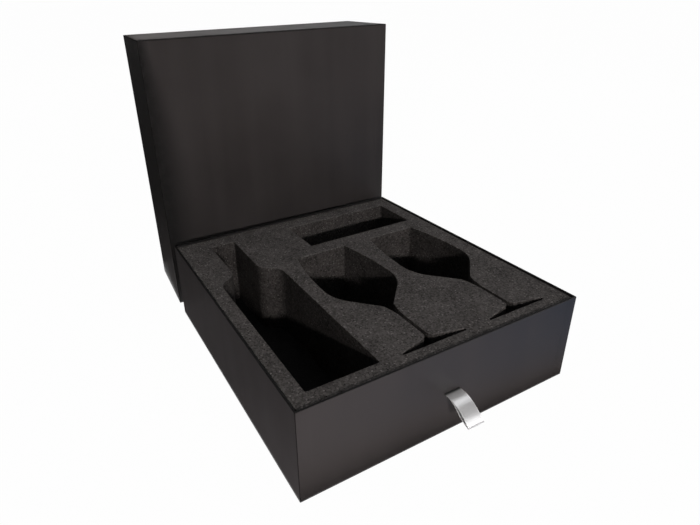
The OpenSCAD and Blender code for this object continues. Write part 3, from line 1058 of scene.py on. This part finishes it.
def slab_mesh(name, loops, bottom, top, edge_r, pitch, unevenness, wall_step, seed=0.0):
    """A slab with rounded top edges. The first loop runs anticlockwise, holes clockwise."""
    loops = [with_pitch(loop, pitch) for loop in loops]
    bm = bmesh.new()
    # The walls carry a cut mask, for the foam's painted shade on its cut sides
    mask = bm.verts.layers.float.new("cut")

    def swell(x, y, z):
        place = Vector((x + seed, y, z))
        return unevenness * sum(part * noise.noise(place * scale) for scale, part in SWELLS)

    count = round((top - bottom) / wall_step)
    levels = [(bottom + (top - edge_r - bottom) * i / max(1, count), 0.0)
              for i in range(count + 1)]
    levels += [(top - edge_r * (1 - math.sin(angle)), edge_r * (1 - math.cos(angle)))
               for angle in map(math.radians, ROUNDING)]
    top_loops = []
    top_rings = []
    bottom_rings = []
    for loop in loops:
        inwards = loop_normals(loop)
        rings = []
        for level, (z, depth) in enumerate(levels):
            inner = 0 < level < len(levels) - 1
            ring = []
            for point, way in zip(inset_loop(loop, depth), inwards):
                push = abs(swell(point.x, point.y, z)) if inner else 0.0
                vert = bm.verts.new((*(point + way * push), z))
                vert[mask] = cut_wall_painted_shade(way) if level <= count else 0.0
                ring.append(vert)
            rings.append(ring)
        for lower, upper in zip(rings, rings[1:]):
            for i in range(len(loop)):
                j = (i + 1) % len(loop)
                bm.faces.new((lower[i], lower[j], upper[j], upper[i]))
        top_loops.append(inset_loop(loop, edge_r))
        top_rings.append(rings[-1])
        bottom_rings.append(rings[0])
    cap_faces(bm, top_loops, top_rings, top, pitch,
              lambda spot: -abs(swell(spot.x, spot.y, top)), True)
    cap_faces(bm, loops, bottom_rings, bottom, pitch * 4, lambda spot: 0.0, False)
    return smooth_mesh(bm, name, degrees=55)


# %% [markdown]
# The spaces in the foam are drawn as the cutter's blades would be: straight stretches
# and arcs, each with its real radius. Only the right half of the bottle and of the
# glass is drawn, because their left half is its mirror image.

# %% Outlines of the bottle and the glass
def arc(centre, radius, start, end, steps):
    """Points on an arc, from one angle to another, in degrees."""
    spots = []
    for i in range(steps + 1):
        angle = math.radians(start + (end - start) * i / steps)
        spots.append(Vector(centre) + radius * Vector((math.cos(angle), math.sin(angle))))
    return spots


def both_sides(half, middle, foot_y):
    """The whole outline, clockwise, from the right half of it in millimetres."""
    loop = half + [Vector((-p.x, p.y)) for p in reversed(half)]
    return [Vector((middle + p.x * MM, foot_y + p.y * MM)) for p in reversed(loop)]


def bottle_loop(middle, foot_y, width=79.5, body=206, neck=33.5, length=321, shoulder=20,
                corner=1.5):
    """Outline of a wine bottle with its neck towards the back."""
    body_x = width / 2
    neck_x = neck / 2
    first = Vector((body_x - shoulder, body))
    run = neck_x + shoulder - first.x
    rise = math.sqrt((2 * shoulder) ** 2 - run ** 2)
    turn = math.degrees(math.atan2(rise, run))
    half = arc((body_x - corner, corner), corner, -90, 0, 3)
    half += arc(first, shoulder, 0, turn, 9)
    half += arc(first + Vector((run, rise)), shoulder, 180 + turn, 180, 9)[1:]
    half += arc((neck_x - corner, length - corner), corner, 0, 90, 3)
    return both_sides(half, middle, foot_y)


def glass_loop(middle, foot_y, foot_w=80, foot_edge=2.2, foot_rise=13.8, foot_r=8, stem=4,
               stem_r=90, root_w=13, bowl_bottom=79.5, bowl_r=50, bowl_w=93, widest=142,
               rim_w=72, length=231):
    """Outline of a wine glass with its rim towards the back."""
    side_h = length - widest
    side_in = (bowl_w - rim_w) / 2
    side_r = (side_h ** 2 + side_in ** 2) / (2 * side_in)
    root = Vector((root_w / 2, bowl_bottom))
    centre = Vector((bowl_w / 2 - bowl_r, widest))
    way = centre - root
    flank = math.degrees(math.atan2(way.y, way.x) - math.asin(bowl_r / way.length))
    drop = math.sqrt(stem_r ** 2 - (stem_r - (root.x - stem / 2)) ** 2)
    foot_x = stem / 2 + foot_r
    slope = math.radians(foot_rise)
    foot_arc_y = foot_edge + (foot_w / 2 - foot_x) * math.tan(slope) + foot_r / math.cos(slope)
    half = [Vector((foot_w / 2, 0)), Vector((foot_w / 2, foot_edge))]
    half += arc((foot_x, foot_arc_y), foot_r, 270 - foot_rise, 180, 6)
    half += arc((stem / 2 + stem_r, bowl_bottom - drop), stem_r, 180,
                180 - math.degrees(math.asin(drop / stem_r)), 5)
    half += arc(centre, bowl_r, flank - 90, 0, 12)
    half += arc((bowl_w / 2 - side_r, widest), side_r, 0,
                math.degrees(math.asin(side_h / side_r)), 9)[1:]
    return both_sides(half, middle, foot_y)


# %% The foam block and the pad under it
FOAM_EDGE_R = 0.7 * MM
FOAM_PITCH = 3.2 * MM
FOAM_WALL_STEP = 7 * MM
FOAM_UNEVENNESS = 0.16 * MM
POCKET_CORNER_R = 1.5 * MM
BOTTLE_X, BOTTLE_Y = -114.65 * MM, -164.3 * MM
GLASS_X, GLASS_PITCH, GLASS_Y = -9.6 * MM, 113.4 * MM, -167.2 * MM
ACCESSORY_LOW = Vector((-11.6, 87.8)) * MM
ACCESSORY_HIGH = Vector((152.2, 157.0)) * MM

block_low, block_high = node_box("foam_block")
pocket_loops = [bottle_loop(BOTTLE_X, BOTTLE_Y)]
pocket_loops += [glass_loop(GLASS_X + i * GLASS_PITCH, GLASS_Y) for i in (0, 1)]
pocket_loops.append(rectangle_loop(ACCESSORY_LOW, ACCESSORY_HIGH, POCKET_CORNER_R,
                                   clockwise=True))
block_loop = rectangle_loop(block_low.xy, block_high.xy)

foam_block = new_piece(
    "cut_foam_block",
    slab_mesh("cut_foam_block", [block_loop] + pocket_loops, block_low.z, block_high.z,
              FOAM_EDGE_R, FOAM_PITCH, FOAM_UNEVENNESS, FOAM_WALL_STEP),
    foam, "insert")
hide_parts("foam_block")
print("foam block faces:", len(foam_block.data.polygons))

pad_low, pad_high = node_box("foam_base_pad")
foam_pad = new_piece(
    "foam_floor_pad",
    slab_mesh("foam_floor_pad", [rectangle_loop(pad_low.xy, pad_high.xy)], pad_low.z,
              pad_high.z, edge_r=0.3 * MM, pitch=5 * MM, unevenness=0.05 * MM,
              wall_step=6 * MM, seed=5.0),
    pad_painted_shade_foam, "insert")
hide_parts("foam_base_pad")

# %% [markdown]
# A sheet of the same paper is glued over the base of the drawer and over the closed
# end of the slipcase, where it hides the turned edges. It stops a little short of the
# outer folds, and its own edge shows as a fine step.

# %% Glued sheets
SHEET_INSET = 2.5 * MM
SHEET_CORNER_R = 1.0 * MM


def glued_sheet(name, width, depth, bottom, top, body, node, standing=None):
    """A thin sheet of covering paper with slightly rounded corners."""
    half = Vector((width / 2, depth / 2))
    mesh = slab_mesh(name, [rectangle_loop(-half, half, SHEET_CORNER_R)], bottom, top,
                     edge_r=0.06 * MM, pitch=8 * MM, unevenness=0.02 * MM,
                     wall_step=1 * MM, seed=9.0)
    if standing:
        mesh.transform(standing)
    piece = new_piece(name, mesh, black_paper, body)
    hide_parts(node)
    return piece


base_low, base_high = node_box("drawer_base_sheet")
end_low, end_high = node_box("sleeve_end_sheet")
base_size = base_high - base_low
glued_sheet("drawer_underside_paper", base_size.x, base_size.y, base_low.z, base_high.z,
            "drawer", "drawer_base_sheet")
glued_sheet("sleeve_end_paper", sleeve_w - 2 * SHEET_INSET, sleeve_t - 2 * SHEET_INSET,
            end_low.z, end_high.z, "sleeve", "sleeve_end_sheet", STANDING)
print("glued sheets, mm:", [round(v / MM, 1) for v in base_size.xy])

# %% [markdown]
# The boards, the linings and the corner stays have their true shape in the frame, so
# they only get their finish.

# %% Finishes for the boards, linings and stays
FINISHES = {"board": greyboard, "lining": lining_paper, "stays": stay_paper}
dressed = 0
for name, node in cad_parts.items():
    for ending, finish in FINISHES.items():
        if name.endswith(ending):
            node.data.materials.clear()
            node.data.materials.append(finish)
            dressed += 1
print("boards, linings and stays dressed:", dressed)

# %% [markdown]
# The pull is one length of satin ribbon. Its ends are glued inside the front, one up
# and one down. Both layers pass the slot, and outside they form a flat loop. The
# ribbon follows a path, so Geometry Nodes carry its section along that path: a thin
# band with a slightly thicker woven edge on each side. A mask darkens the stretch
# that lies in the slot and just outside it, where hardly any light gets in.

# %% Path of the ribbon
RIBBON_W = 20 * MM
RIBBON_T = 0.22 * MM
LAYER_GAP = 0.3 * MM
PULL_START = 0.7 * MM
PULL_REACH = 36 * MM
PULL_DROP = 16.2 * MM
PULL_PART = 4.3 * MM
# Where the loop's curve is drawn to on its way: shares of its reach and of its drop
PULL_BENDS = ((0.36, 0.09), (0.67, -0.25))
TAIL_L = 29.5 * MM
TAIL_BEND = 0.5 * MM
LOOP_STEPS = 26
tail_y = node_box("ribbon_tails")[1].y - LAYER_GAP / 2


def loop_point(share, depth):
    """A point of the loop's side view: outwards, and up from the slot."""
    ends = [Vector((PULL_START, LAYER_GAP / 2))]
    ends += [Vector((PULL_REACH * out, PULL_DROP * up)) for out, up in PULL_BENDS]
    ends.append(Vector((PULL_REACH - LAYER_GAP, -PULL_DROP + LAYER_GAP)))
    rest = 1 - share
    weights = (rest ** 3, 3 * share * rest ** 2, 3 * share ** 2 * rest, share ** 3)
    here = sum((p * w for p, w in zip(ends, weights)), Vector((0, 0)))
    slope = (ends[1] - ends[0]) * 3 * rest ** 2 + (ends[2] - ends[1]) * 6 * share * rest
    slope += (ends[3] - ends[2]) * 3 * share ** 2
    way = slope.normalized()
    return here - Vector((-way.y, way.x)) * depth


def parted(share):
    """How far the lower layer has left the upper one."""
    return PULL_PART * math.sin(math.pi * share ** 2)


def ribbon_path():
    """The ribbon's middle line, from the end of one tail to that of the other."""
    front = drawer_low.y
    upper = [loop_point(i / LOOP_STEPS, 0) for i in range(LOOP_STEPS + 1)]
    lower = [loop_point(i / LOOP_STEPS, LAYER_GAP + parted(i / LOOP_STEPS))
             for i in range(LOOP_STEPS, -1, -1)]
    tip = (upper[-1] + lower[0]) / 2
    way = Vector((upper[-1] - upper[-2])).normalized()
    fold = [tip + way * LAYER_GAP * 0.5]
    outside = [Vector((0, front - p.x, SLOT_Z + p.y)) for p in upper + fold + lower]
    level = SLOT_Z + LAYER_GAP / 2
    up_tail = [Vector((0, tail_y, SLOT_Z + TAIL_L * s)) for s in (1.0, 0.66, 0.33)]
    up_tail += [Vector((0, tail_y - TAIL_BEND * forth, level + TAIL_BEND * up))
                for forth, up in ((0, 1), (0.3, 0.3), (1, 0))]
    down_tail = [Vector((0, p.y, 2 * SLOT_Z - p.z)) for p in reversed(up_tail)]
    return up_tail + outside + down_tail


ribbon_line = ribbon_path()


# %% Ribbon finish
SATIN_GREY, SATIN_PALE = (0.78, 0.785, 0.795), (0.86, 0.865, 0.875)
# A painted highlight for the woven edges, and a painted shade for the stretch in the slot
SELVEDGE_HIGHLIGHT, SATIN_IN_SHADE = (0.93, 0.93, 0.93), (0.01, 0.01, 0.01)
# How fast the ribs of the weave follow each other, in radians per metre
WEFT_RATE = 14000.0
WARP_RATE = 9000.0
SHEEN_SCALE = 70.0


def satin_finish():
    """Silver-grey satin with fine weft ribs across it, from the ribbon's own UV map."""
    material, tree, shader = new_material("ribbon")
    uv = tree.nodes.new("ShaderNodeUVMap")
    uv.uv_map = "weave"
    split = tree.nodes.new("ShaderNodeSeparateXYZ")
    tree.links.new(uv.outputs["UV"], split.inputs["Vector"])
    weft = math_node(tree, "SINE", math_node(tree, "MULTIPLY", split.outputs["Y"], WEFT_RATE))
    warp = math_node(tree, "SINE", math_node(tree, "MULTIPLY", split.outputs["X"], WARP_RATE))
    weave = math_node(tree, "ADD", weft, math_node(tree, "MULTIPLY", warp, 0.4))
    edge = math_node(tree, "ABSOLUTE", math_node(tree, "SUBTRACT", split.outputs["X"],
                                                 RIBBON_W / 2))
    selvedge_highlight = spread_node(tree, edge, RIBBON_W / 2 - 1.1 * MM, RIBBON_W / 2 - 0.6 * MM)
    cloud = noise_node(tree, SHEEN_SCALE, detail=3.0, rough=0.6, vector=place_node(tree))
    base = blend_colours(tree, cloud, SATIN_GREY, SATIN_PALE)
    # Painted highlight along the woven edges
    base = blend_colours(tree, selvedge_highlight, base, SELVEDGE_HIGHLIGHT)
    base = blend_colours(tree, mask_node(tree, "tucked"), base, SATIN_IN_SHADE)
    tree.links.new(base, shader.inputs["Base Color"])
    shader.inputs["Roughness"].default_value = 0.28
    shader.inputs["Metallic"].default_value = 0.55
    shader.inputs["Specular IOR Level"].default_value = 0.7
    add_bump(tree, shader, weave, 0.15, 0.00003)
    return material


satin = satin_finish()
print("satin:", satin.name)

# %% The band along the path, by Geometry Nodes
RIBBON_INPUTS = {"Geometry": "Geometry", "Width": "Float", "Thickness": "Float",
                 "Selvedge": "Float", "Cupping": "Float", "Columns": "Int",
                 "Finish": "Material"}


def node_links(tree, *pairs):
    """Links pairs of sockets."""
    for source, target in pairs:
        tree.links.new(source, target)


def ribbon_sockets(tree):
    """Makes the group's inputs and its output, and the two nodes that stand for them."""
    for label, kind in RIBBON_INPUTS.items():
        tree.interface.new_socket(label, in_out="INPUT", socket_type="NodeSocket" + kind)
    tree.interface.new_socket("Geometry", in_out="OUTPUT", socket_type="NodeSocketGeometry")
    return tree.nodes.new("NodeGroupInput"), tree.nodes.new("NodeGroupOutput")


def with_length(tree, curve, label):
    """Stores the length run so far on each point of a curve, under a name."""
    along = tree.nodes.new("GeometryNodeSplineParameter")
    store = tree.nodes.new("GeometryNodeStoreNamedAttribute")
    store.data_type = "FLOAT"
    store.domain = "POINT"
    store.inputs["Name"].default_value = label
    node_links(tree, (curve, store.inputs["Geometry"]),
               (along.outputs["Length"], store.inputs["Value"]))
    return store.outputs[0]


def swept_band(tree, given, half):
    """A flat band along the path, with its places along and across stored on it."""
    line = tree.nodes.new("GeometryNodeCurvePrimitiveLine")
    line.mode = "POINTS"
    minus = math_node(tree, "MULTIPLY", given.outputs["Width"], -0.5)
    for value, end in ((minus, "Start"), (half, "End")):
        spot = tree.nodes.new("ShaderNodeCombineXYZ")
        node_links(tree, (value, spot.inputs["X"]), (spot.outputs[0], line.inputs[end]))
    cross = tree.nodes.new("GeometryNodeResampleCurve")
    sweep = tree.nodes.new("GeometryNodeCurveToMesh")
    node_links(tree, (line.outputs[0], cross.inputs["Curve"]),
               (given.outputs["Columns"], cross.inputs["Count"]))
    node_links(tree, (with_length(tree, given.outputs["Geometry"], "run"), sweep.inputs["Curve"]),
               (with_length(tree, cross.outputs[0], "pick"), sweep.inputs["Profile Curve"]))
    return sweep.outputs[0]


# %% The band's thickness
WOVEN_FROM, WOVEN_FULL = 0.93, 0.96
NODE_WELD = 0.001 * MM


def band_thickness(tree, given, half):
    """The thickness, more at the woven edges, and the lift that centres it on the path."""
    pick = tree.nodes.new("GeometryNodeInputNamedAttribute")
    pick.data_type = "FLOAT"
    pick.inputs["Name"].default_value = "pick"
    share = math_node(tree, "DIVIDE", math_node(tree, "SUBTRACT", pick.outputs[0], half), half)
    woven = spread_node(tree, math_node(tree, "ABSOLUTE", share), WOVEN_FROM, WOVEN_FULL)
    extra = math_node(tree, "MULTIPLY", woven, given.outputs["Selvedge"])
    thick = math_node(tree, "ADD", given.outputs["Thickness"], extra)
    # Cupping lifts the middle of the band a little off its edges
    rise = math_node(tree, "SUBTRACT", 1.0, math_node(tree, "MULTIPLY", share, share))
    cupped = math_node(tree, "MULTIPLY", rise, given.outputs["Cupping"])
    return thick, math_node(tree, "SUBTRACT", cupped, math_node(tree, "MULTIPLY", thick, 0.5))


def thickened(tree, band, thick, lift):
    """Lifts the flat band off its path, then gives it a second face and closed edges."""
    normal = tree.nodes.new("GeometryNodeInputNormal")
    scale = tree.nodes.new("ShaderNodeVectorMath")
    scale.operation = "SCALE"
    move = tree.nodes.new("GeometryNodeSetPosition")
    grow = tree.nodes.new("GeometryNodeExtrudeMesh")
    grow.inputs["Individual"].default_value = False
    flip = tree.nodes.new("GeometryNodeFlipFaces")
    join = tree.nodes.new("GeometryNodeJoinGeometry")
    weld = tree.nodes.new("GeometryNodeMergeByDistance")
    weld.inputs["Distance"].default_value = NODE_WELD
    node_links(
        tree,
        (normal.outputs[0], scale.inputs[0]), (lift, scale.inputs["Scale"]),
        (scale.outputs[0], move.inputs["Offset"]), (band, move.inputs["Geometry"]),
        (move.outputs[0], grow.inputs["Mesh"]), (thick, grow.inputs["Offset Scale"]),
        (move.outputs[0], flip.inputs["Mesh"]),
        (grow.outputs["Mesh"], join.inputs[0]), (flip.outputs[0], join.inputs[0]),
        (join.outputs[0], weld.inputs["Geometry"]))
    return weld.outputs[0]


def ribbon_tree():
    """Carries the ribbon's section along a path and gives it its finish."""
    tree = bpy.data.node_groups.new("ribbon_sweep", "GeometryNodeTree")
    given, out = ribbon_sockets(tree)
    half = math_node(tree, "MULTIPLY", given.outputs["Width"], 0.5)
    thick, lift = band_thickness(tree, given, half)
    solid = thickened(tree, swept_band(tree, given, half), thick, lift)
    realize = tree.nodes.new("GeometryNodeRealizeInstances")
    paint = tree.nodes.new("GeometryNodeSetMaterial")
    node_links(tree, (solid, realize.inputs["Geometry"]),
               (realize.outputs[0], paint.inputs["Geometry"]),
               (given.outputs["Finish"], paint.inputs["Material"]),
               (paint.outputs[0], out.inputs["Geometry"]))
    return tree


# %% The ribbon as a mesh
RIBBON_SECTION = {"Width": RIBBON_W, "Thickness": RIBBON_T, "Selvedge": 0.05 * MM,
                  "Cupping": 0.02 * MM, "Columns": 33, "Finish": satin}
TUCKED_TO = 3.0 * MM


def set_input(modifier, label, value):
    """Sets a Geometry Nodes input by the identifier behind its name."""
    for item in modifier.node_group.interface.items_tree:
        if item.name == label and item.in_out == "INPUT":
            modifier[item.identifier] = value


def ribbon_mesh():
    """The swept ribbon as a plain mesh."""
    curve = bpy.data.curves.new("ribbon_line", "CURVE")
    curve.dimensions = "3D"
    spline = curve.splines.new("POLY")
    spline.points.add(len(ribbon_line) - 1)
    middle = Vector((SLOT_X, 0, 0))
    for point, place in zip(spline.points, ribbon_line):
        point.co = (*(place + middle), 1)
    holder = placed("ribbon_line", curve)
    nodes = holder.modifiers.new("sweep", "NODES")
    nodes.node_group = ribbon_tree()
    for label, value in RIBBON_SECTION.items():
        set_input(nodes, label, value)
    bpy.context.view_layer.update()
    made = bpy.data.meshes.new_from_object(
        holder.evaluated_get(bpy.context.evaluated_depsgraph_get()))
    bpy.data.objects.remove(holder)
    return made


def weave_map(mesh):
    """A UV map in metres, across and along the ribbon, from the stored places."""
    layer = mesh.uv_layers.new(name="weave")
    pick = mesh.attributes["pick"].data
    run = mesh.attributes["run"].data
    for loop in mesh.loops:
        layer.uv[loop.index].vector = (pick[loop.vertex_index].value,
                                       run[loop.vertex_index].value)


def tucked_mask(mesh):
    """1 where the ribbon lies in the slot's shade, and 0 from a few millimetres outside."""
    mask = mesh.attributes.new("tucked", "FLOAT", "POINT")
    for vertex in mesh.vertices:
        outside = drawer_low.y - vertex.co.y
        mask.data[vertex.index].value = 1 - ramp(outside, 0.0, TUCKED_TO)


swept = ribbon_mesh()
weave_map(swept)
tucked_mask(swept)
swept.shade_smooth()
swept.set_sharp_from_angle(angle=math.radians(50))
print("ribbon faces:", len(swept.polygons), [a.name for a in swept.attributes])
ribbon = placed("satin_ribbon", swept)
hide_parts("ribbon_pull", "ribbon_tails")
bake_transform(ribbon, "drawer", "pull", start=(SLOT_X, drawer_low.y, SLOT_Z),
         end=(SLOT_X, drawer_low.y - 4 * MM, SLOT_Z))
